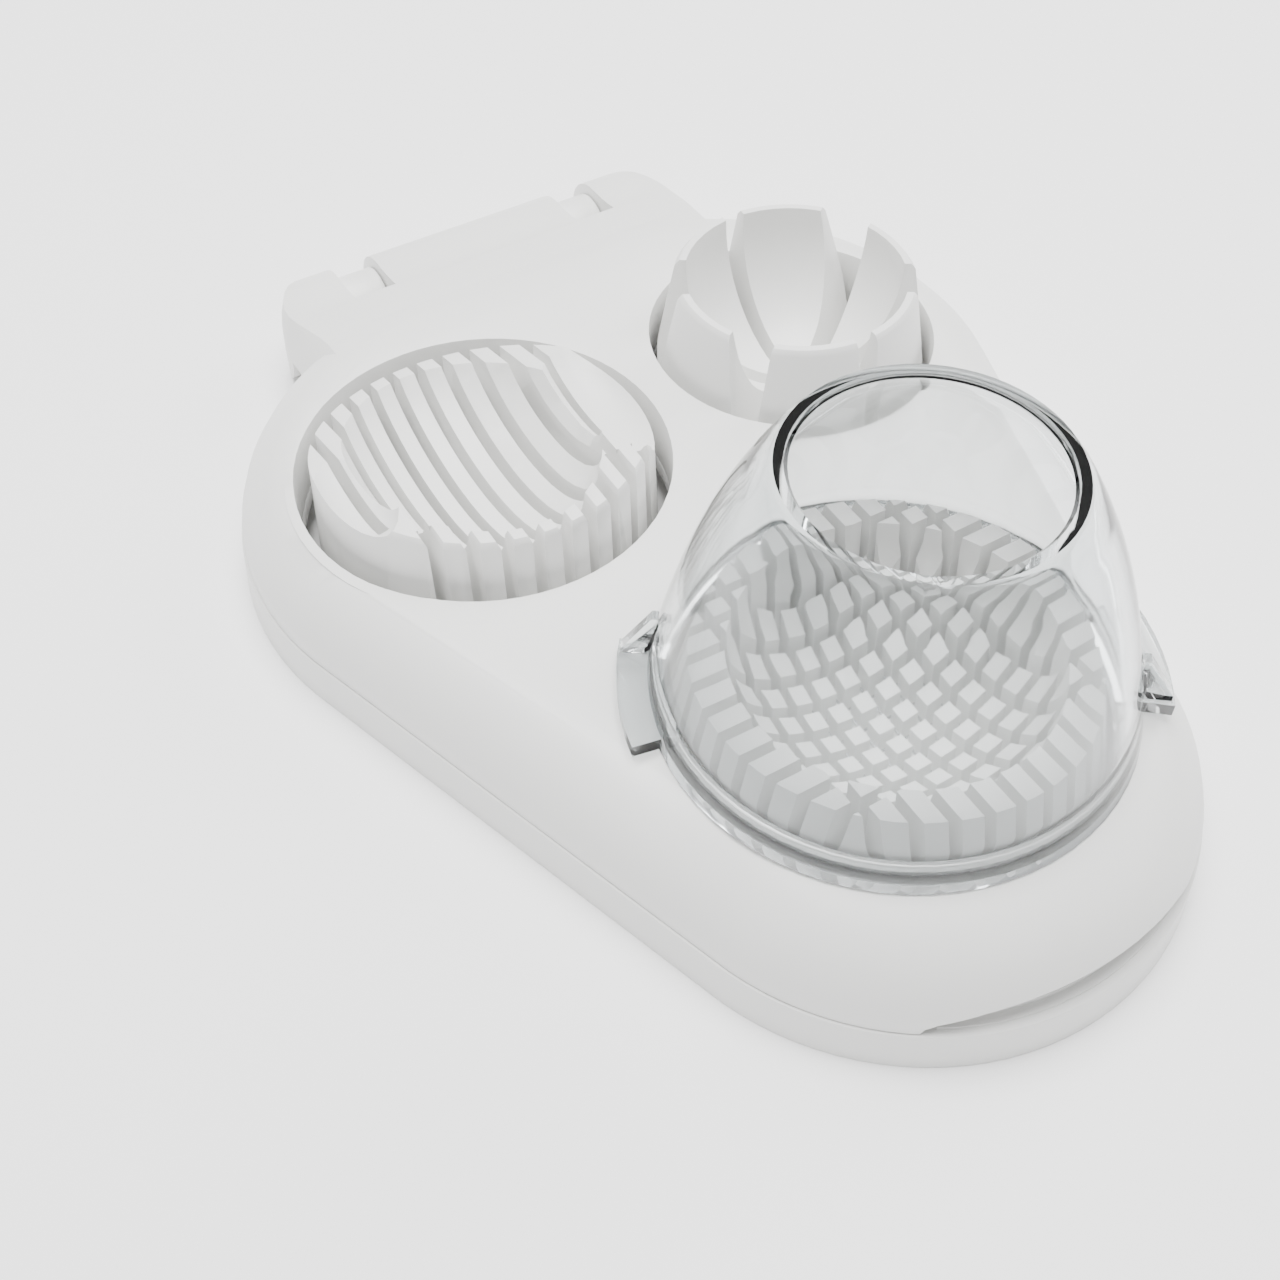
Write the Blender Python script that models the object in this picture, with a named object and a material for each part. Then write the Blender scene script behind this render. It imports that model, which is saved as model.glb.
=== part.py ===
"""Three-in-one egg slicer: a low base with three cups, and a hinged lid that carries the cutting wires.

Metres, +Z up. The object stands on z = 0 with its hinge along X at the rear (+Y) and its finger
scoop at the front (-Y). It is modelled closed, with the wires at the bottom of the cups' slots.
"""

import math

import bmesh
import bpy
from mathutils import Vector

MM = 0.001
GAP = 0.3 * MM  # air left between touching pieces

# Outline in plan: the hull of two rear circles and one front circle.
REAR_CIRCLE_X = 19.5 * MM
REAR_CIRCLE_Y = 27.0 * MM
REAR_CIRCLE_R = 52.0 * MM
FRONT_CIRCLE_Y = -54.0 * MM
FRONT_CIRCLE_R = 45.0 * MM
OUTLINE_STEPS = 96

# Base tray
BASE_FLARE = 1.0 * MM
BASE_FLOOR = 2.0 * MM
BASE_WALL = 2.2 * MM
BASE_TOP = 7.8 * MM

# Lid shell
LID_WALL = 2.2 * MM
LID_BOTTOM = BASE_TOP + GAP
LID_TOP = 22.6 * MM
LID_SHOULDER = 14.0 * MM
SHOULDER_STEPS = 7

# Hinge: a barrel across the rear, and a deck that ramps up from it to the lid's top
HINGE_Y = 91.3 * MM
HINGE_Z = 8.9 * MM
BARREL_R = 8.6 * MM
KNUCKLE_R = 6.6 * MM
KNUCKLE_X = 24.3 * MM
KNUCKLE_WIDTH = 7.8 * MM
BLOCK_HALF_X = 43.0 * MM
BLOCK_EDGE_R = 6.5 * MM
BLOCK_EDGE_Z = 8.5 * MM
BLOCK_CORNER_R = 16.0 * MM
BLOCK_FRONT_Y = 62.0 * MM
BASE_BLOCK_Y = 81.5 * MM
RAMP_OUT = 2.8 * MM
RAMP_LENGTH = 22.0 * MM
NOTCH_GAP = 2.2 * MM
PIN_R = 1.5 * MM
PIN_LENGTH = 16.0 * MM

# Cups: the slicer's end blocks and slats, the wedger's petals and the dicer's pins
SLICER_X = -30.0 * MM
SLICER_Y = 25.7 * MM
SLICER_R = 29.6 * MM
SLICER_OPENING_R = 32.0 * MM
SLICER_TOP = 31.5 * MM
SLICER_TOP_R = 28.6 * MM
SLAT_PITCH = 4.8 * MM
SLAT_SHIFT = -2.0 * MM
SLICER_SLOTS = 10
SLICER_SLOT = 1.9 * MM
SLICER_SEAT = (-31.8 * MM, 27.5 * MM)
SLICER_SEAT_RADII = (20.8 * MM, 27.7 * MM, 17.0 * MM)
SLICER_SCOOPS = (
    ((-6.5 * MM, 25.7 * MM, 33.0 * MM), (9.5 * MM, 20.0 * MM, 11.0 * MM)),
    ((-54.3 * MM, 24.0 * MM, 33.5 * MM), (6.0 * MM, 15.0 * MM, 7.0 * MM)),
)
REAR_SLOPE = 0.27
REAR_SLOPE_Y = 20.0 * MM
END_SLOT_BOTTOM = 16.0 * MM
END_SLOT_WALL = 5.0 * MM
NOTCH_DEPTH = 1.6 * MM
NOTCH_HALF = 1.5 * MM

WEDGER_X = 34.0 * MM
WEDGER_Y = 27.6 * MM
WEDGER_R = 24.4 * MM
WEDGER_OPENING_R = 26.0 * MM
WEDGER_TOP = 35.0 * MM
WEDGER_TOP_R = 21.8 * MM
WEDGER_TAPER_Z = 19.0 * MM
WEDGER_WIRES = 3
WEDGER_WIRE_SHIFT = 4.0 * MM
WEDGER_SLOT = 2.2 * MM
WEDGER_FLARE = 0.9 * MM
WEDGER_SEAT_R = 19.8 * MM
WEDGER_SEAT_BOTTOM = 12.6 * MM

DICER_Y = -48.3 * MM
DICER_R = 33.1 * MM
DICER_OPENING_R = 35.3 * MM
DICER_TOP = 31.0 * MM
DICER_TOP_R = 30.2 * MM
DICER_SLANT_Z = 19.0 * MM
DICER_PITCH = 4.6 * MM
DICER_WIRES = 10
DICER_SLOT = 1.7 * MM
DICER_SEAT_R = 25.0 * MM
DICER_SEAT_BOTTOM = 11.8 * MM

# Wires and the frames that hold them under the lid
WIRE_R = 0.25 * MM
WIRE_Z = 9.0 * MM
WIRE_LAYER = 0.85 * MM
SLOT_BOTTOM = WIRE_Z - 1.2 * MM
SLOT_LEAN = 0.85  # share of the wire's sideways travel that a straight slot leans by
FRAME_WIDTH = 2.0 * MM
FRAME_HEIGHT = 3.0 * MM
COLLAR_WALL = 1.6 * MM

# Clear dome: its wall leans in by the cone and, further up, by the crown
DOME_R = 36.9 * MM
DOME_CONE = 0.22
DOME_CROWN = 80.0
DOME_TOP = 66.6 * MM
DOME_WALL = 2.0 * MM
DOME_RIM = 2.4 * MM
DOME_LIP = 1.5 * MM
EAR_REACH = 41.0 * MM
EAR_START = 140.0
EAR_SWEEP = 29.0
EAR_THICK = 2.2 * MM
FIN_HEIGHT = 8.0 * MM
FIN_THICK = 1.8 * MM

# Finger scoop at the front
SCOOP_STEPS = 4
SCOOP_TREAD = 1.5 * MM
SCOOP_RISE = 0.9 * MM
SCOOP_HALF_X = 23.0 * MM
SCOOP_ARCH = 5.5 * MM


# ---------------------------------------------------------------- helpers


def clear_scene():
    for obj in list(bpy.data.objects):
        bpy.data.objects.remove(obj, do_unlink=True)


def make_material(name, color, roughness, metallic=0.0, alpha=1.0):
    material = bpy.data.materials.new(name)
    material.use_nodes = True
    shader = material.node_tree.nodes["Principled BSDF"]
    shader.inputs["Base Color"].default_value = (*color, 1.0)
    shader.inputs["Roughness"].default_value = roughness
    shader.inputs["Metallic"].default_value = metallic
    shader.inputs["Alpha"].default_value = alpha
    material.diffuse_color = (*color, alpha)
    return material


def add_object(name, bm, origin=(0.0, 0.0, 0.0)):
    """Turn a bmesh drawn in world coordinates into an object whose origin is at origin."""
    bmesh.ops.recalc_face_normals(bm, faces=bm.faces)
    bmesh.ops.translate(bm, verts=bm.verts, vec=-Vector(origin))
    mesh = bpy.data.meshes.new(name)
    bm.to_mesh(mesh)
    bm.free()
    obj = bpy.data.objects.new(name, mesh)
    obj.location = origin
    bpy.context.collection.objects.link(obj)
    return obj


def loft(bm, loops, cap_ends=True):
    """Skin a stack of point loops of equal length, and cap the first and last."""
    rings = [[bm.verts.new(point) for point in loop] for loop in loops]
    count = len(rings[0])
    for low, high in zip(rings, rings[1:]):
        for i in range(count):
            j = (i + 1) % count
            bm.faces.new((low[i], low[j], high[j], high[i]))
    if cap_ends:
        bm.faces.new(rings[0][::-1])
        bm.faces.new(rings[-1])
    else:
        for i in range(count):
            j = (i + 1) % count
            bm.faces.new((rings[-1][i], rings[-1][j], rings[0][j], rings[0][i]))


def circle(x, y, z, radius, steps):
    turns = [2 * math.pi * i / steps for i in range(steps)]
    return [(x + radius * math.cos(t), y + radius * math.sin(t), z) for t in turns]


def lathe(name, x, y, profile, steps, closed_ring=False):
    """Turn (radius, z) points about a vertical axis; a closed ring leaves the middle open."""
    bm = bmesh.new()
    loft(bm, [circle(x, y, z, r, steps) for r, z in profile], cap_ends=not closed_ring)
    return add_object(name, bm)


def box(bm, low, high):
    corners = [(low[0], low[1]), (high[0], low[1]), (high[0], high[1]), (low[0], high[1])]
    loft(bm, [[(x, y, z) for x, y in corners] for z in (low[2], high[2])])


def ellipsoid(name, center, radii, columns, rows):
    bm = bmesh.new()
    bmesh.ops.create_uvsphere(bm, u_segments=columns, v_segments=rows, radius=1.0)
    bmesh.ops.scale(bm, vec=radii, verts=bm.verts)
    bmesh.ops.translate(bm, vec=center, verts=bm.verts)
    return add_object(name, bm)


def x_cylinder(bm, x_low, x_high, y, z, radius, steps):
    turns = [2 * math.pi * i / steps for i in range(steps)]
    ring = [(y + radius * math.cos(t), z + radius * math.sin(t)) for t in turns]
    loft(bm, [[(x, a, b) for a, b in ring] for x in (x_low, x_high)])


def combine(target, tool, operation):
    """Apply a Boolean to target and remove the tool."""
    modifier = target.modifiers.new(operation.title(), "BOOLEAN")
    modifier.operation = operation
    modifier.solver = "EXACT"
    modifier.object = tool
    depsgraph = bpy.context.evaluated_depsgraph_get()
    result = bpy.data.meshes.new_from_object(target.evaluated_get(depsgraph))
    target.modifiers.clear()
    old = target.data
    target.data = result
    bpy.data.meshes.remove(old)
    bpy.data.objects.remove(tool, do_unlink=True)


def outline(offset, z):
    """The body's outline at height z, moved outwards by offset."""
    circles = [
        (REAR_CIRCLE_X, REAR_CIRCLE_Y, REAR_CIRCLE_R + offset),
        (-REAR_CIRCLE_X, REAR_CIRCLE_Y, REAR_CIRCLE_R + offset),
        (0.0, FRONT_CIRCLE_Y, FRONT_CIRCLE_R + offset),
    ]
    points = []
    for i in range(OUTLINE_STEPS):
        turn = 2 * math.pi * (i + 0.5) / OUTLINE_STEPS
        dx, dy = math.cos(turn), math.sin(turn)
        x, y, r = max(circles, key=lambda c: c[0] * dx + c[1] * dy + c[2])
        points.append((x + r * dx, y + r * dy, z))
    return points


def shoulder(width, low, high):
    """(offset, z) pairs along a quarter ellipse that rises inwards."""
    turns = [0.5 * math.pi * i / SHOULDER_STEPS for i in range(SHOULDER_STEPS + 1)]
    return [(-width * (1 - math.cos(t)), low + (high - low) * math.sin(t)) for t in turns]


def lid_shift(y, z_start, z):
    """How far a point of the lid has moved towards +Y when it has risen from z_start to z."""
    reach = math.hypot(HINGE_Y - y, HINGE_Z - z_start)
    start = math.atan2(z_start - HINGE_Z, HINGE_Y - y)
    end = math.asin(min((z - HINGE_Z) / reach, 0.95))
    return reach * (math.cos(start) - math.cos(end))


def slot(bm, start, end, width, top):
    """A slot cutter for a wire from start to end, leaning to follow the wire's arc up to top."""
    direction = (Vector(end) - Vector(start)).normalized()
    side = Vector((-direction.y, direction.x, 0.0)) * width / 2
    low, high = [], []
    for x, y in (start, end):
        center = Vector((x, y, SLOT_BOTTOM))
        lean = Vector((0.0, SLOT_LEAN * lid_shift(y, WIRE_Z, top), top - SLOT_BOTTOM))
        low.append(center)
        high.append(center + lean)
    loops = [[p[0] - side, p[1] - side, p[1] + side, p[0] + side] for p in (low, high)]
    loft(bm, loops)


# ---------------------------------------------------------------- wire layout


def slicer_lines():
    """Start and end of each slicing wire in plan, from -X to +X; the first slot has no wire."""
    reach = SLICER_OPENING_R + FRAME_WIDTH - GAP
    lines = []
    for i in range(1, SLICER_SLOTS):
        x = SLAT_SHIFT + (i - (SLICER_SLOTS - 1) / 2) * SLAT_PITCH
        half = math.sqrt(reach**2 - x**2)
        lines.append(((SLICER_X + x, SLICER_Y - half), (SLICER_X + x, SLICER_Y + half)))
    return lines


def wedger_lines():
    """Start and end of each wedging wire in plan, at 30, 90 and 150 degrees.

    They cross in front of the cup's centre, because they swing back as the lid rises.
    """
    reach = WEDGER_OPENING_R + FRAME_WIDTH - GAP
    lines = []
    for i in range(WEDGER_WIRES):
        turn = math.pi * (i + 0.5) / WEDGER_WIRES
        dx, dy = math.cos(turn), math.sin(turn)
        along = WEDGER_WIRE_SHIFT * dy
        half = math.sqrt(reach**2 - WEDGER_WIRE_SHIFT**2 + along**2)
        ends = []
        for t in (along - half, along + half):
            ends.append((WEDGER_X + t * dx, WEDGER_Y - WEDGER_WIRE_SHIFT + t * dy))
        lines.append(tuple(ends))
    return lines


def dicer_lines(across):
    """Start and end of each dicing wire in plan; across runs them along X."""
    reach = DICER_OPENING_R + FRAME_WIDTH - GAP
    lines = []
    for i in range(DICER_WIRES):
        offset = (i - (DICER_WIRES - 1) / 2) * DICER_PITCH
        half = math.sqrt(reach**2 - offset**2)
        if across:
            lines.append(((-half, DICER_Y + offset), (half, DICER_Y + offset)))
        else:
            lines.append(((offset, DICER_Y - half), (offset, DICER_Y + half)))
    return lines


def slots(lines, width, top):
    bm = bmesh.new()
    for start, end in lines:
        slot(bm, start, end, width, top)
    return add_object("slots", bm)


# ---------------------------------------------------------------- base


def build_base(material):
    """A shallow tray with two hinge knuckles at the rear and a stepped finger scoop in front."""
    bm = bmesh.new()
    loops = [
        outline(BASE_FLARE, 0.0),
        outline(0.4 * MM, BASE_TOP),
        outline(-BASE_WALL, BASE_TOP),
        outline(-BASE_WALL, BASE_FLOOR),
    ]
    loft(bm, loops)
    base = add_object("base_shell", bm)
    combine(base, finger_scoop(), "UNION")
    combine(base, base_block(), "UNION")
    for side in (-1, 1):
        combine(base, knuckle(side), "UNION")
        bore = bmesh.new()
        half = KNUCKLE_WIDTH / 2 + MM
        x = side * KNUCKLE_X
        x_cylinder(bore, x - half, x + half, HINGE_Y, HINGE_Z, PIN_R + GAP, 16)
        combine(base, add_object("bore", bore), "DIFFERENCE")
    base.data.materials.clear()
    base.data.materials.append(material)
    return base


def scoop_loop(k, z):
    """The outline of one tread, concentric with the front of the body; inner treads are smaller."""
    radius = FRONT_CIRCLE_R - MM - k * SCOOP_TREAD
    inner = FRONT_CIRCLE_R - SCOOP_STEPS * SCOOP_TREAD - 6 * MM + k * 0.5 * MM
    half = math.asin(SCOOP_HALF_X / FRONT_CIRCLE_R) - 0.02 * k
    turns = [-math.pi / 2 + half * (i / 8 - 1) for i in range(17)]
    points = [(radius * math.cos(t), FRONT_CIRCLE_Y + radius * math.sin(t), z) for t in turns]
    points += [
        (inner * math.cos(t), FRONT_CIRCLE_Y + inner * math.sin(t), z) for t in turns[::-1]
    ]
    return points


def finger_scoop():
    """A stepped pad whose treads rise inwards from the front edge."""
    loops = [scoop_loop(0, BASE_FLOOR / 2)]
    for k in range(SCOOP_STEPS):
        top = BASE_TOP + (k + 0.5) * SCOOP_RISE
        loops.append(scoop_loop(k, top))
        if k + 1 < SCOOP_STEPS:
            loops.append(scoop_loop(k + 1, top))
    bm = bmesh.new()
    loft(bm, loops)
    return add_object("scoop", bm)


def base_block():
    """The solid block at the tray's rear, under the lid's deck, with rounded corners."""
    front = REAR_CIRCLE_Y + REAR_CIRCLE_R - 12 * MM
    rear, corner = BASE_BLOCK_Y, 4 * MM
    points = [(BLOCK_HALF_X, front)]
    for side in (1, -1):
        for i in range(5):
            turn = math.radians(90 * i / 4 + (0 if side > 0 else 90))
            x = side * (BLOCK_HALF_X - corner) + corner * math.cos(turn)
            points.append((x, rear - corner + corner * math.sin(turn)))
    points.append((-BLOCK_HALF_X, front))
    bm = bmesh.new()
    loft(bm, [[(x, y, z) for x, y in points] for z in (BASE_FLOOR / 2, BASE_TOP)])
    return add_object("base_block", bm)


def knuckle(side):
    """A hinge knuckle and the bracket that joins it to the tray's rear wall."""
    x_low = side * KNUCKLE_X - KNUCKLE_WIDTH / 2
    x_high = side * KNUCKLE_X + KNUCKLE_WIDTH / 2
    radius = KNUCKLE_R
    rear_wall = REAR_CIRCLE_Y + REAR_CIRCLE_R
    low = HINGE_Z - radius
    turns = [math.radians(-90 + 270 * i / 27) for i in range(28)]
    ring = [(HINGE_Y + radius * math.cos(t), HINGE_Z + radius * math.sin(t)) for t in turns]
    ring += [(HINGE_Y - radius, BASE_TOP), (rear_wall - BASE_WALL / 2, BASE_TOP)]
    ring += [(rear_wall - BASE_WALL / 2, low)]
    bm = bmesh.new()
    loft(bm, [[(x, y, z) for y, z in ring] for x in (x_low, x_high)])
    return add_object("knuckle", bm)


# ---------------------------------------------------------------- lid


def opening(x, y, radius, low, high):
    return lathe("opening", x, y, [(radius, low), (radius, high)], 64)


def openings():
    """Centre and radius of the lid's three openings."""
    return [
        (SLICER_X, SLICER_Y, SLICER_OPENING_R),
        (WEDGER_X, WEDGER_Y, WEDGER_OPENING_R),
        (0.0, DICER_Y, DICER_OPENING_R),
    ]


def smooth(t):
    """An S-curve from 0 to 1 as t goes from 0 to 1."""
    t = min(max(t, 0.0), 1.0)
    return t * t * (3 - 2 * t)


def rear_block():
    """The lid's hinge barrel and the deck in front of it, with rounded rear corners."""
    turns = [math.radians(85 - 245 * i / 24) for i in range(25)]
    ring = []
    for t in turns:
        ring.append((HINGE_Y + BARREL_R * math.cos(t), HINGE_Z + BARREL_R * math.sin(t)))
    low = LID_BOTTOM + GAP
    ring += [(HINGE_Y - BARREL_R, low), (BLOCK_FRONT_Y, low)]
    deck = HINGE_Z + BARREL_R
    top = LID_TOP - LID_WALL / 2
    for i in range(10):
        y = BLOCK_FRONT_Y + (HINGE_Y - MM - BLOCK_FRONT_Y) * i / 9
        ring.append((y, deck + (top - deck) * smooth((HINGE_Y - RAMP_OUT - y) / RAMP_LENGTH)))
    bm = bmesh.new()
    loft(bm, [[(x, y, z) for y, z in ring] for x in (-BLOCK_HALF_X, BLOCK_HALF_X)])
    block = add_object("rear_block", bm)
    rear = HINGE_Y + BARREL_R
    bm = bmesh.new()
    levels = [(0.0, -MM)] + shoulder(BLOCK_EDGE_R, BLOCK_EDGE_Z, LID_TOP + MM)
    loft(bm, [rounded_block(offset, rear, z) for offset, z in levels])
    combine(block, add_object("rounding", bm), "INTERSECT")
    return block


def rounded_block(offset, rear, z):
    """A rectangle in plan whose two rear corners are rounded, shrunk by a negative offset."""
    half = BLOCK_HALF_X + offset
    radius = BLOCK_CORNER_R + offset
    front = BLOCK_FRONT_Y - 5 * MM
    points = [(half, front, z)]
    for side in (1, -1):
        for i in range(9):
            turn = math.radians(90 * i / 8) if side > 0 else math.radians(90 + 90 * i / 8)
            x = side * (half - radius) + radius * math.cos(turn)
            points.append((x, rear + offset - radius + radius * math.sin(turn), z))
    points.append((-half, front, z))
    return points


def build_lid(material):
    """A crowned shell with three openings, hinged at the rear, with an arched front edge."""
    outer = shoulder(LID_SHOULDER, LID_BOTTOM, LID_TOP)
    inner = shoulder(LID_SHOULDER - LID_WALL, LID_BOTTOM, LID_TOP - LID_WALL)
    bm = bmesh.new()
    loops = [outline(offset - LID_WALL, z) for offset, z in reversed(inner)]
    loops += [outline(offset, z) for offset, z in outer]
    loft(bm, loops)
    lid = add_object("lid_shell", bm)
    combine(lid, rear_block(), "UNION")
    collar_low = LID_BOTTOM + FRAME_HEIGHT + 2 * GAP
    for x, y, radius in openings():
        collar = opening(x, y, radius + COLLAR_WALL, collar_low, LID_TOP - LID_WALL / 2)
        combine(lid, collar, "UNION")
    for x, y, radius in openings():
        combine(lid, opening(x, y, radius, 0.0, LID_TOP + 5 * MM), "DIFFERENCE")
    cuts = bmesh.new()
    for side in (-1, 1):
        x = side * KNUCKLE_X
        half = KNUCKLE_WIDTH / 2 + GAP
        front = HINGE_Y - KNUCKLE_R - NOTCH_GAP
        rear = HINGE_Y + 2 * BARREL_R
        box(cuts, (x - half, front, -MM), (x + half, rear, LID_TOP + 5 * MM))
    combine(lid, add_object("notches", cuts), "DIFFERENCE")
    for side in (-1, 1):
        bore = bmesh.new()
        half = PIN_LENGTH / 2 + GAP
        x = side * KNUCKLE_X
        x_cylinder(bore, x - half, x + half, HINGE_Y, HINGE_Z, PIN_R + GAP, 16)
        combine(lid, add_object("bore", bore), "DIFFERENCE")
    combine(lid, front_arch(), "DIFFERENCE")
    lid.data.materials.clear()
    lid.data.materials.append(material)
    return lid


def front_arch():
    """The cutter that lifts the lid's front edge over the finger scoop."""
    count = 16
    ring = []
    for i in range(count + 1):
        turn = math.pi * i / count
        x = (SCOOP_HALF_X + 2 * MM) * math.cos(turn)
        ring.append((x, LID_BOTTOM + SCOOP_ARCH * math.sin(turn)))
    ring += [(-SCOOP_HALF_X - 2 * MM, 0.0), (SCOOP_HALF_X + 2 * MM, 0.0)]
    front = FRONT_CIRCLE_Y - FRONT_CIRCLE_R
    bm = bmesh.new()
    loft(bm, [[(x, y, z) for x, z in ring] for y in (front - 5 * MM, front + 14 * MM)])
    return add_object("arch", bm)


# ---------------------------------------------------------------- cups


def build_slicer_cup(material):
    """A round cup cut into nine slats between two end blocks, around an egg-shaped seat."""
    profile = [(SLICER_R, BASE_FLOOR + GAP), (SLICER_R, SLOT_BOTTOM)]
    profile += [(SLICER_TOP_R, SLICER_TOP - MM), (SLICER_TOP_R - 0.6 * MM, SLICER_TOP)]
    cup = lathe("slicer_cup", SLICER_X, SLICER_Y, profile, 64)
    seat = ellipsoid("seat", (*SLICER_SEAT, SLICER_TOP), SLICER_SEAT_RADII, 48, 24)
    combine(cup, seat, "DIFFERENCE")
    for center, radii in SLICER_SCOOPS:
        combine(cup, ellipsoid("scoop", center, radii, 24, 16), "DIFFERENCE")
    slope = bmesh.new()
    far = SLICER_Y + SLICER_R + MM
    drop = REAR_SLOPE * (far - REAR_SLOPE_Y)
    half = SLICER_R + MM
    high = SLICER_TOP + MM
    ring = [(REAR_SLOPE_Y, SLICER_TOP), (far, SLICER_TOP - drop), (far, high), (REAR_SLOPE_Y, high)]
    loft(slope, [[(x, a, b) for a, b in ring] for x in (SLICER_X - half, SLICER_X + half)])
    combine(cup, add_object("slope", slope), "DIFFERENCE")
    combine(cup, slots(slicer_lines(), SLICER_SLOT, high), "DIFFERENCE")
    combine(cup, slicer_end_slot(), "DIFFERENCE")
    combine(cup, slicer_notches(), "DIFFERENCE")
    cup.data.materials.clear()
    cup.data.materials.append(material)
    return cup


def slicer_end_slot():
    """The first slot, which is shallow, takes no wire and stops short of the front wall."""
    offset = SLAT_SHIFT - (SLICER_SLOTS - 1) / 2 * SLAT_PITCH
    half = math.sqrt(SLICER_R**2 - offset**2)
    x = SLICER_X + offset
    side = SLICER_SLOT / 2
    front = SLICER_Y - half + END_SLOT_WALL
    rear = SLICER_Y + half + 2 * MM
    bm = bmesh.new()
    box(bm, (x - side, front, END_SLOT_BOTTOM), (x + side, rear, SLICER_TOP + MM))
    return add_object("end_slot", bm)


def slicer_notches():
    """A small V at the top of each slot in the front wall, which leads the wire in."""
    bm = bmesh.new()
    for (x, _), _ in slicer_lines():
        low = SLICER_TOP - NOTCH_DEPTH
        high = SLICER_TOP + 0.5 * MM
        ring = [(x - 0.8 * MM, low), (x + 0.8 * MM, low), (x + NOTCH_HALF, high)]
        ring += [(x - NOTCH_HALF, high)]
        rear = SLICER_Y - SLICER_R + 12 * MM
        loft(bm, [[(a, y, b) for a, b in ring] for y in (SLICER_Y - SLICER_R - MM, rear)])
    return add_object("notches", bm)


def build_wedger_cup(material):
    """A round cup cut into six petals around an egg-shaped seat."""
    profile = [(WEDGER_R, BASE_FLOOR + GAP), (WEDGER_R, WEDGER_TAPER_Z)]
    profile += [(WEDGER_TOP_R, WEDGER_TOP - MM), (WEDGER_TOP_R - 0.8 * MM, WEDGER_TOP)]
    cup = lathe("wedger_cup", WEDGER_X, WEDGER_Y, profile, 64)
    depth = WEDGER_TOP - WEDGER_SEAT_BOTTOM
    center = (WEDGER_X, WEDGER_Y, WEDGER_TOP)
    seat = ellipsoid("seat", center, (WEDGER_SEAT_R, WEDGER_SEAT_R, depth), 48, 24)
    combine(cup, seat, "DIFFERENCE")
    for line in wedger_lines():
        combine(cup, petal_slot(line), "DIFFERENCE")
    cup.data.materials.clear()
    cup.data.materials.append(material)
    return cup


def petal_slot(line):
    """A slot that opens upwards, wide enough for the wire's arc as the lid rises."""
    start, end = (Vector((x, y, 0.0)) for x, y in line)
    direction = (end - start).normalized()
    side = Vector((-direction.y, direction.x, 0.0))
    top = WEDGER_TOP + MM
    low, high = [], []
    for point in (start, end):
        swing = Vector((0.0, lid_shift(point.y, WIRE_Z, top), 0.0))
        for sign in (-1, 1):
            base = point + side * sign * WEDGER_SLOT / 2
            low.append(base + Vector((0.0, 0.0, SLOT_BOTTOM)))
            shift = swing if swing.dot(side) * sign > 0 else Vector()
            high.append(base + side * sign * WEDGER_FLARE + shift + Vector((0.0, 0.0, top)))
    bm = bmesh.new()
    loft(bm, [[p[0], p[2], p[3], p[1]] for p in (low, high)])
    return add_object("petal_slot", bm)


def build_dicer_cup(material):
    """A round cup cut both ways into square pins around a bowl."""
    profile = [(DICER_R, BASE_FLOOR + GAP), (DICER_R, DICER_SLANT_Z), (DICER_TOP_R, DICER_TOP)]
    cup = lathe("dicer_cup", 0.0, DICER_Y, profile, 48)
    center = (0.0, DICER_Y, DICER_TOP)
    depth = DICER_TOP - DICER_SEAT_BOTTOM
    seat = ellipsoid("seat", center, (DICER_SEAT_R, DICER_SEAT_R, depth), 36, 20)
    combine(cup, seat, "DIFFERENCE")
    for across in (True, False):
        cutter = slots(dicer_lines(across), DICER_SLOT, DICER_TOP + MM)
        combine(cup, cutter, "DIFFERENCE")
    cup.data.materials.clear()
    cup.data.materials.append(material)
    return cup


# ---------------------------------------------------------------- wires and frames


def build_wire(name, line, z, material):
    """One straight wire, hexagonal in section, between two plan points."""
    start, end = (Vector((x, y, z)) for x, y in line)
    direction = (end - start).normalized()
    side = Vector((-direction.y, direction.x, 0.0))
    up = Vector((0.0, 0.0, 1.0))
    turns = [2 * math.pi * i / 6 for i in range(6)]
    ring = [WIRE_R * (math.cos(t) * side + math.sin(t) * up) for t in turns]
    bm = bmesh.new()
    loft(bm, [[point + offset for offset in ring] for point in (start, end)])
    wire = add_object(name, bm)
    wire.data.materials.append(material)
    return wire


def build_frame(name, center, layers, material):
    """A ring under one opening, with a groove for each wire; layers hold (lines, z)."""
    x, y, radius = center
    low = LID_BOTTOM + GAP
    high = low + FRAME_HEIGHT
    outer = radius + FRAME_WIDTH
    profile = [(radius, low), (outer, low), (outer, high), (radius, high)]
    frame = lathe(name, x, y, profile, 64, closed_ring=True)
    for lines, z in layers:
        for line in lines:
            combine(frame, groove(line, z), "DIFFERENCE")
    frame.data.materials.clear()
    frame.data.materials.append(material)
    return frame


def groove(line, z):
    """A groove cutter open at the frame's underside, with clearance around the wire."""
    start, end = (Vector((x, y, 0.0)) for x, y in line)
    direction = (end - start).normalized()
    side = Vector((-direction.y, direction.x, 0.0)) * (WIRE_R + GAP)
    start, end = start - direction * 2 * MM, end + direction * 2 * MM
    plan = [start - side, end - side, end + side, start + side]
    bm = bmesh.new()
    loft(bm, [[point + Vector((0.0, 0.0, h)) for point in plan] for h in (0.0, z + WIRE_R + GAP)])
    return add_object("groove", bm)


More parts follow.
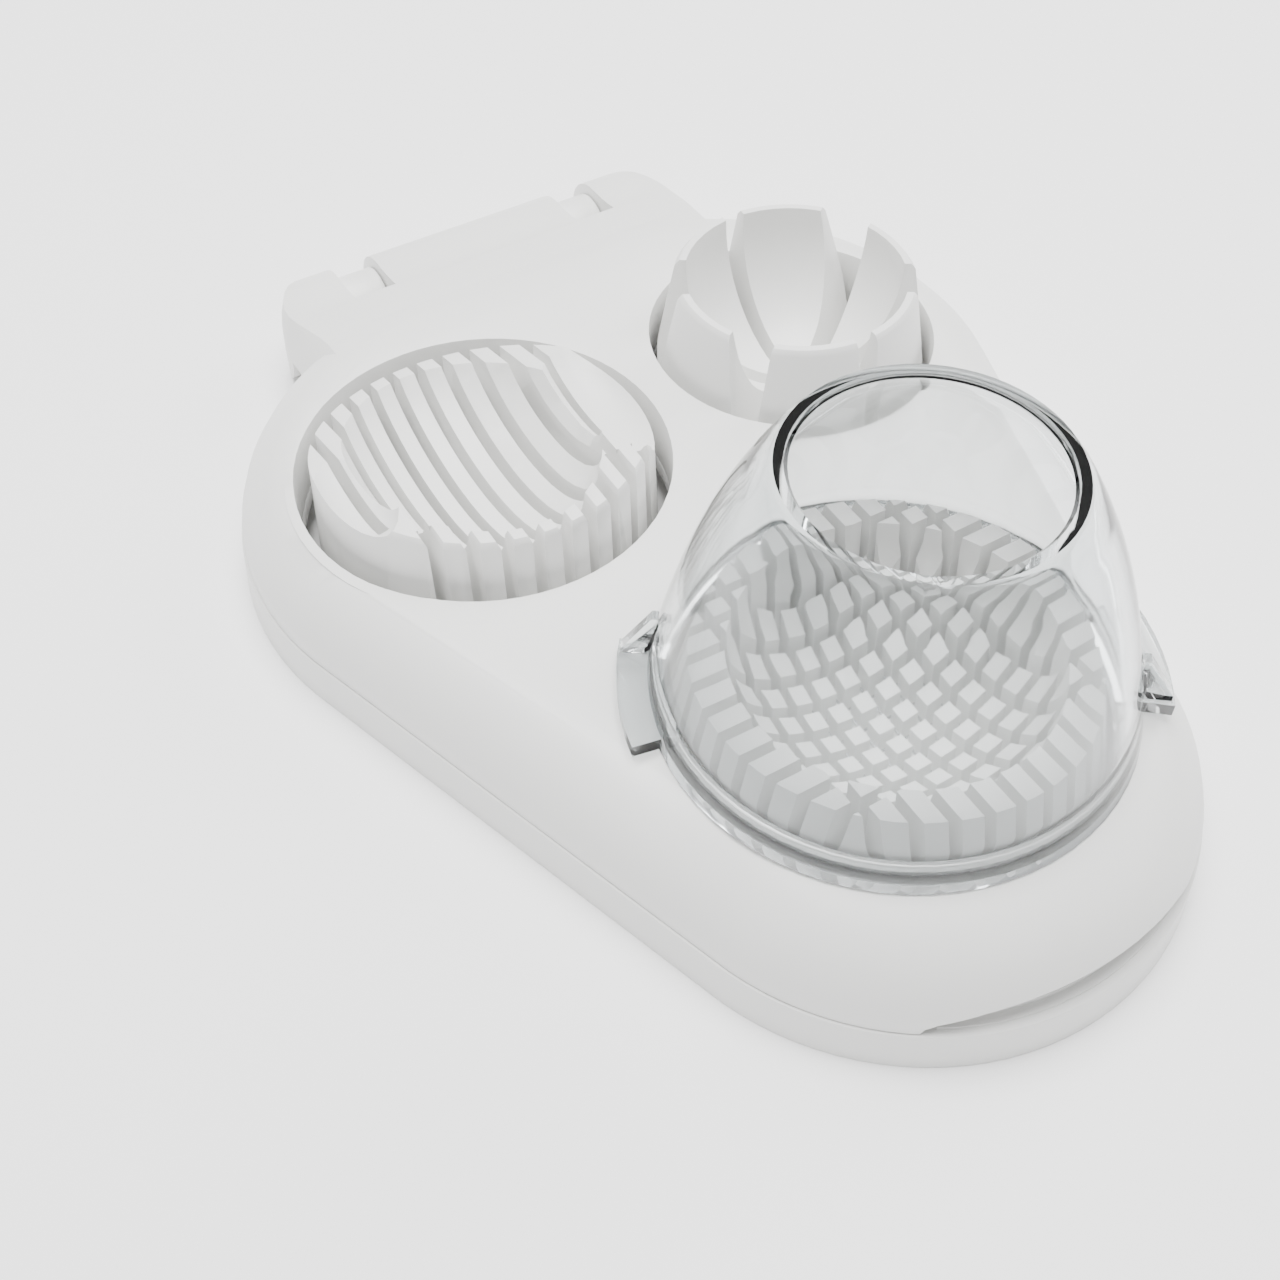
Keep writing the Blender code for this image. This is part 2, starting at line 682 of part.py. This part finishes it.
def build_wires(steel, plastic):
    """Every wire and the three frames, named from -X to +X or from -Y to +Y."""
    upper = WIRE_Z + WIRE_LAYER
    slicer, wedger, dicer = openings()
    for i, line in enumerate(slicer_lines(), 1):
        build_wire(f"slicer_wire_{i:02d}", line, WIRE_Z, steel)
    build_frame("slicer_wire_frame", slicer, [(slicer_lines(), WIRE_Z)], plastic)
    wedger_layers = []
    for i, line in enumerate(wedger_lines(), 1):
        z = WIRE_Z + (i - 1) * WIRE_LAYER
        build_wire(f"wedger_wire_{i}", line, z, steel)
        wedger_layers.append(([line], z))
    build_frame("wedger_wire_frame", wedger, wedger_layers, plastic)
    for i, line in enumerate(dicer_lines(True), 1):
        build_wire(f"dicer_wire_x_{i:02d}", line, WIRE_Z, steel)
    for i, line in enumerate(dicer_lines(False), 1):
        build_wire(f"dicer_wire_y_{i:02d}", line, upper, steel)
    layers = [(dicer_lines(True), WIRE_Z), (dicer_lines(False), upper)]
    build_frame("dicer_wire_frame", dicer, layers, plastic)


# ---------------------------------------------------------------- hinge pins and dome


def build_hinge_pin(name, side, material):
    bm = bmesh.new()
    x = side * KNUCKLE_X
    x_cylinder(bm, x - PIN_LENGTH / 2, x + PIN_LENGTH / 2, HINGE_Y, HINGE_Z, PIN_R, 16)
    pin = add_object(name, bm, (x, HINGE_Y, HINGE_Z))
    pin.data.materials.append(material)
    return pin


def dome_radius(z, inset):
    """Radius of the dome's wall at height z, inset from its outer face."""
    rise = z - LID_TOP - GAP
    return DOME_R - inset - DOME_CONE * rise - DOME_CROWN * rise**3


def build_dome(material):
    """An open-topped clear dome that stands on the lid around the dicer, with two ears."""
    seat = LID_TOP + GAP
    rim_low = DOME_TOP - DOME_RIM
    heights = [seat + EAR_THICK + (rim_low - seat - EAR_THICK) * i / 9 for i in range(10)]
    lip_outer = DICER_OPENING_R - 2 * GAP
    lip_inner = lip_outer - MM
    profile = [(DOME_R, seat)] + [(dome_radius(z, 0.0), z) for z in heights]
    rim = dome_radius(DOME_TOP, DOME_WALL / 2)
    profile += [(rim + 1.4 * MM, DOME_TOP - 1.2 * MM), (rim + 0.8 * MM, DOME_TOP)]
    profile += [(rim - 0.6 * MM, DOME_TOP), (rim - 1.2 * MM, DOME_TOP - 0.8 * MM)]
    profile += [(dome_radius(z, DOME_WALL), z) for z in reversed(heights)]
    profile += [(lip_inner, seat + EAR_THICK - 0.6 * MM), (lip_inner, seat - DOME_LIP)]
    profile += [(lip_outer, seat - DOME_LIP), (lip_outer, seat)]
    dome = lathe("clear_dome", 0.0, DICER_Y, profile, 64, closed_ring=True)
    for start in (EAR_START, EAR_START + 180.0):
        combine(dome, dome_ear(start), "UNION")
        combine(dome, dome_fin(start + 2.5), "UNION")
    dome.data.materials.clear()
    dome.data.materials.append(material)
    return dome


def dome_ear(start):
    seat = LID_TOP + GAP
    turns = [math.radians(start + EAR_SWEEP * i / 6) for i in range(7)]
    points = [(EAR_REACH * math.cos(t), EAR_REACH * math.sin(t)) for t in turns]
    inner = DOME_R - DOME_WALL / 2
    points += [(inner * math.cos(t), inner * math.sin(t)) for t in turns[::-1]]
    bm = bmesh.new()
    loft(bm, [[(x, DICER_Y + y, z) for x, y in points] for z in (seat, seat + EAR_THICK)])
    return add_object("ear", bm)


def dome_fin(degrees):
    """The upright gusset that braces an ear against the dome's wall."""
    turn = math.radians(degrees)
    out = Vector((math.cos(turn), math.sin(turn), 0.0))
    side = Vector((-out.y, out.x, 0.0)) * FIN_THICK / 2
    center = Vector((0.0, DICER_Y, 0.0))
    low = LID_TOP + GAP + EAR_THICK / 2
    high = LID_TOP + GAP + EAR_THICK + FIN_HEIGHT
    inner = DOME_R - DOME_WALL / 2 - 0.6 * MM
    corners = [(inner, low), (EAR_REACH - 0.5 * MM, low), (EAR_REACH - 0.5 * MM, low + 2 * MM)]
    corners += [(inner + 0.6 * MM, high), (inner - 0.4 * MM, high)]
    bm = bmesh.new()
    loft(bm, [[center + out * r + Vector((0, 0, z)) + s for r, z in corners] for s in (-side, side)])
    return add_object("fin", bm)


def main():
    clear_scene()
    white = make_material("white_abs", (0.86, 0.86, 0.85), 0.38)
    steel = make_material("steel", (0.62, 0.63, 0.64), 0.25, metallic=1.0)
    clear = make_material("clear_plastic", (0.93, 0.95, 0.96), 0.05, alpha=0.35)
    build_base(white)
    build_lid(white)
    build_slicer_cup(white)
    build_wedger_cup(white)
    build_dicer_cup(white)
    build_wires(steel, white)
    build_hinge_pin("hinge_pin_left", -1, steel)
    build_hinge_pin("hinge_pin_right", 1, steel)
    build_dome(clear)


main()
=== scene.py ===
import math

import bpy
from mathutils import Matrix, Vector


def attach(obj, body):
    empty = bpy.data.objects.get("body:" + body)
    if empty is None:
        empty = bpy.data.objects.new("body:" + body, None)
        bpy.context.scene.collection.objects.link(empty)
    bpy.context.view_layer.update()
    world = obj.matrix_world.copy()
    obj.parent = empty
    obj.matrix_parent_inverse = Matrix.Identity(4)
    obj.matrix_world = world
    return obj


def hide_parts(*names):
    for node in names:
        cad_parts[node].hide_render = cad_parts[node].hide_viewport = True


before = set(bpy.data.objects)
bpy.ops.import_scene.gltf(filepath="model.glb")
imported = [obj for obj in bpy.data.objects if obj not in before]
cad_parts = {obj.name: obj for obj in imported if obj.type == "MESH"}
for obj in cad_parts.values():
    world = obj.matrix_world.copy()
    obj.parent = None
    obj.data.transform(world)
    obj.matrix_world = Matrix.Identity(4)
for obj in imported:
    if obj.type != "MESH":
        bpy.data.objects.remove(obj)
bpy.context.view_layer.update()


# ---------------------------------------------------------------- base
# The base is a shallow tray moulded in one piece from white ABS. It carries two knuckles
# at the rear and a stepped pad for a fingertip at the front, and it stands on its flat
# underside. The mould leaves every edge slightly rounded.

MM = 0.001
ABS_WHITE = "E9E9E7"
ABS_GRAIN = 0.9 * MM  # the faint waviness of a polished mould, drawn coarse enough to show


def linear(text):
    """An sRGB hex colour as linear red, green, blue and alpha."""
    channels = [int(text[i : i + 2], 16) / 255 for i in (0, 2, 4)]
    parts = [c / 12.92 if c <= 0.04045 else ((c + 0.055) / 1.055) ** 2.4 for c in channels]
    return (*parts, 1.0)


def node(tree, kind, settings=None, links=None):
    """Add a node, set its properties and sockets, and link its inputs from other sockets."""
    made = tree.nodes.new(kind)
    for key, value in (settings or {}).items():
        if key in made.inputs:
            made.inputs[key].default_value = value
        else:
            setattr(made, key, value)
    for key, source in (links or {}).items():
        tree.links.new(source, made.inputs[key])
    return made


NOISE_DETAIL = 3.0
GLOSS_SPREAD = 0.15
RELIEF = 0.02 * MM


def finish_material(name, hex_colour, roughness, grain, bump, settings=None):
    """A moulded or drawn finish whose gloss and surface waver at the scale of its grain."""
    material = bpy.data.materials.new(name)
    material.use_nodes = True
    tree = material.node_tree
    shader = tree.nodes["Principled BSDF"]
    place = node(tree, "ShaderNodeTexCoord")
    scaled = node(tree, "ShaderNodeMapping", {"Scale": (1 / grain,) * 3})
    tree.links.new(place.outputs["Object"], scaled.inputs["Vector"])
    noise = node(
        tree,
        "ShaderNodeTexNoise",
        {"Scale": 1.0, "Detail": NOISE_DETAIL},
        {"Vector": scaled.outputs[0]},
    )
    ramp = node(
        tree,
        "ShaderNodeMapRange",
        {"To Min": roughness * (1 - GLOSS_SPREAD), "To Max": roughness * (1 + GLOSS_SPREAD)},
        {"Value": noise.outputs["Fac"]},
    )
    relief = node(
        tree,
        "ShaderNodeBump",
        {"Strength": bump, "Distance": RELIEF},
        {"Height": noise.outputs["Fac"]},
    )
    tree.links.new(ramp.outputs["Result"], shader.inputs["Roughness"])
    tree.links.new(relief.outputs["Normal"], shader.inputs["Normal"])
    shader.inputs["Base Color"].default_value = linear(hex_colour)
    for key, value in (settings or {}).items():
        shader.inputs[key].default_value = value
    return material


# White ABS from a polished mould: a clean milky white with a soft, slightly uneven sheen.
moulded_abs = finish_material(
    "moulded_abs", ABS_WHITE, 0.38, ABS_GRAIN, 0.25, {"IOR": 1.53, "Specular IOR Level": 0.42}
)


MERGE = 0.002 * MM
FLAT = math.radians(0.5)  # faces closer in angle than this are one flat face


def rounded_copy(name, source, body, material, edge, steps=2, sharp=32):
    """A copy of a CAD node with merged faces and rounded edges, shown in its place."""
    bpy.ops.object.select_all(action="DESELECT")
    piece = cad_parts[source].copy()
    piece.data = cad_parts[source].data.copy()
    piece.name = name
    bpy.context.collection.objects.link(piece)
    piece.select_set(True)
    bpy.context.view_layer.objects.active = piece
    bpy.ops.object.mode_set(mode="EDIT")
    bpy.ops.mesh.select_all(action="SELECT")
    bpy.ops.mesh.remove_doubles(threshold=MERGE)
    bpy.ops.mesh.dissolve_limited(angle_limit=FLAT)
    bpy.ops.object.mode_set(mode="OBJECT")
    if edge > 0:
        bevel = piece.modifiers.new("edge", "BEVEL")
        bevel.width = edge
        bevel.segments = steps
        bevel.limit_method = "ANGLE"
        bevel.angle_limit = math.radians(sharp)
        bevel.use_clamp_overlap = True
        bpy.ops.object.modifier_apply(modifier=bevel.name)
    bpy.ops.object.shade_smooth_by_angle(angle=math.radians(sharp))
    piece.data.materials.clear()
    piece.data.materials.append(material)
    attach(piece, body)
    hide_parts(source)


rounded_copy("tray", "base_shell", "base", moulded_abs, 0.35 * MM)


# ---------------------------------------------------------------- lid
# The lid is a crowned shell, also moulded from white ABS, with three round openings. Its
# rear runs back into a barrel between and beside the knuckles, and its front edge arches
# over the finger pad.

rounded_copy("crowned_lid", "lid_shell", "lid", moulded_abs, 0.4 * MM)


# ---------------------------------------------------------------- cups
# Three white ABS cups stand in the base and reach up through the lid's openings. One is cut
# into slats, one into six petals and one into square pins, and each is hollowed out to hold
# an egg. Their edges are rounded more than the shells', so that an egg is not marked.

for name, source, edge in (
    ("slatted_cup", "slicer_cup", 0.3 * MM),
    ("petal_cup", "wedger_cup", 0.8 * MM),
    ("pin_cup", "dicer_cup", 0.35 * MM),
):
    rounded_copy(name, source, "base", moulded_abs, edge, steps=3)


# ---------------------------------------------------------------- wire frames
# Each opening has a white ABS ring under the lid. The wires lie in its grooves, and the ring
# is fixed to the lid from below.

for name in ("slicer", "wedger", "dicer"):
    rounded_copy(
        name + "_ring", name + "_wire_frame", "lid", moulded_abs, 0.15 * MM
    )


# ---------------------------------------------------------------- wires and pins
# The cutting wires are drawn stainless steel, strung straight across the rings. The two
# short hinge pins are turned from the same steel and pressed into the knuckles.

# Drawn stainless steel: a pale grey metal with a fine, slightly soft shine.
drawn_steel = finish_material(
    "drawn_stainless_steel", "C9CACB", 0.22, 0.3 * MM, 0.15, {"Metallic": 1.0}
)

for name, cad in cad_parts.items():
    if "_wire_" in name and not name.endswith("frame"):
        cad.data.materials[0] = drawn_steel
    if name.startswith("hinge_pin"):
        cad.data.materials[0] = drawn_steel


# ---------------------------------------------------------------- dome
# The open-topped dome is moulded from clear polystyrene. It stands on the lid around the pin
# cup, and two ears with small gussets let fingers turn and lift it.

# Clear polystyrene: colourless and glossy, with a faint cool tint along the thick rim.
clear_polystyrene = finish_material(
    "clear_polystyrene",
    "F7FAFB",
    0.04,
    6.0 * MM,
    0.05,
    {"IOR": 1.45, "Transmission Weight": 1.0},
)
rounded_copy(
    "clear_dome_shell", "clear_dome", "dome", clear_polystyrene, 0.0, sharp=40
)


# ---------------------------------------------------------------- floor, light and camera
# A plain pale floor that is no part of the object, soft light from two large panels and
# from all round, and a camera above the front left corner.


def soft_panel(name, place, target, size, power):
    """A large square light at place that faces target."""
    light = bpy.data.lights.new(name, "AREA")
    light.shape = "SQUARE"
    light.size = size
    light.energy = power
    panel = bpy.data.objects.new(name, light)
    panel.location = place
    aim = Vector(target) - Vector(place)
    panel.rotation_euler = aim.to_track_quat("-Z", "Y").to_euler()
    bpy.context.collection.objects.link(panel)


bpy.ops.object.select_all(action="DESELECT")
bpy.ops.mesh.primitive_plane_add(size=6.0, location=(0.0, 0.0, 0.0))
floor = bpy.context.active_object
floor.name = "floor"
floor.data.materials.append(
    finish_material("matt_pale_board", "FFFFFF", 0.85, 2.0 * MM, 0.05)
)

soft_panel("overhead", (0.0, 0.15, 1.1), (0.0, 0.0, 0.0), 0.9, 34.0)
soft_panel("side", (0.8, 0.1, 0.5), (0.0, 0.0, 0.0), 0.5, 4.0)

world = bpy.data.worlds.new("studio")
bpy.context.scene.world = world
world.use_nodes = True
world.node_tree.nodes["Background"].inputs["Color"].default_value = (1.0, 1.0, 1.0, 1.0)
world.node_tree.nodes["Background"].inputs["Strength"].default_value = 0.6

lens = bpy.data.cameras.new("camera")
lens.lens = 45.0
lens.sensor_width = 36.0
camera = bpy.data.objects.new("camera", lens)
camera.location = (-0.109, -0.1575, 0.2088)
aim = Vector((-0.018, -0.00555, 0.0)) - camera.location
camera.rotation_euler = aim.to_track_quat("-Z", "Y").to_euler()
bpy.context.collection.objects.link(camera)
bpy.context.scene.camera = camera
